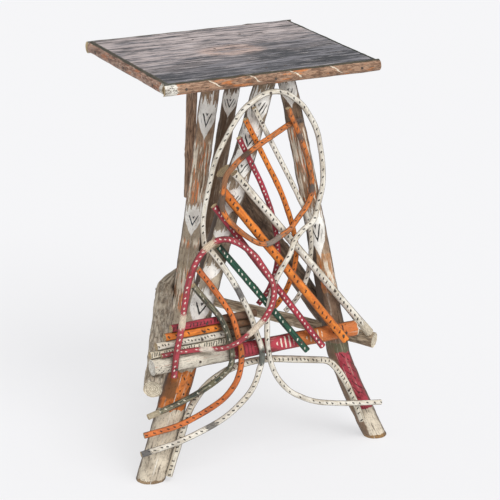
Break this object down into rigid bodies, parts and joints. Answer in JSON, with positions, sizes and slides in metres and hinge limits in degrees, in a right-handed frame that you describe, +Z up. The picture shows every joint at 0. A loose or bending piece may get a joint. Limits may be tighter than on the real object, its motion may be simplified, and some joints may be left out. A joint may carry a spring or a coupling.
{
  "type": "side table",
  "caption": "Rustic pole-leg side table with a small rimmed board top and a nailed front lattice of painted straight and bent twigs.",
  "frame": {"origin": "on the floor, under the middle of the whole outline", "axes": "+Z up, +X to the right along the front edge, +Y to the back"},
  "size_m": [0.5172, 0.4058, 0.737],
  "materials": {
    "leg_paint": "worn hand paint over pale bark",
    "bark": "bare dry bark",
    "white_paint": "worn off-white paint",
    "orange_paint": "worn orange paint",
    "red_paint": "worn red paint",
    "green_paint": "worn dark green paint",
    "olive_paint": "worn olive paint",
    "top_paint": "worn dark paint",
    "trim_wood": "stained split wood",
    "nail_steel": "dull"
  },
  "bodies": {
    "root": {"front_left_leg": "leg_paint", "front_right_leg": "leg_paint", "rear_leg": "leg_paint", "rear_left_post": "bark", "rear_right_post": "bark", "diagonal_brace": "bark", "left_stretcher": "bark", "right_stretcher": "bark", "front_stretcher": "white_paint", "cream_ledge_rail": "white_paint", "white_ledge_rail": "white_paint", "long_white_slat": "white_paint", "upper_white_twig": "white_paint", "low_arch": "white_paint", "white_tail_twig": "white_paint", "white_loop": "white_paint", "orange_ledge_rail": "orange_paint", "long_orange_slat": "orange_paint", "upper_orange_twig": "orange_paint", "orange_tail_twig": "orange_paint", "orange_ring": "orange_paint", "red_ledge_rail": "red_paint", "long_red_slat": "red_paint", "upper_red_twig": "red_paint", "red_arch": "red_paint", "long_green_slat": "green_paint", "olive_tail_twig": "olive_paint", "top_board": "top_paint", "front_trim": "trim_wood", "back_trim": "trim_wood", "left_trim": "trim_wood", "right_trim": "trim_wood", "top_nails": "nail_steel", "trim_nails": "nail_steel", "frame_nails": "nail_steel", "lattice_nails": "nail_steel"}
  },
  "joints": []
}
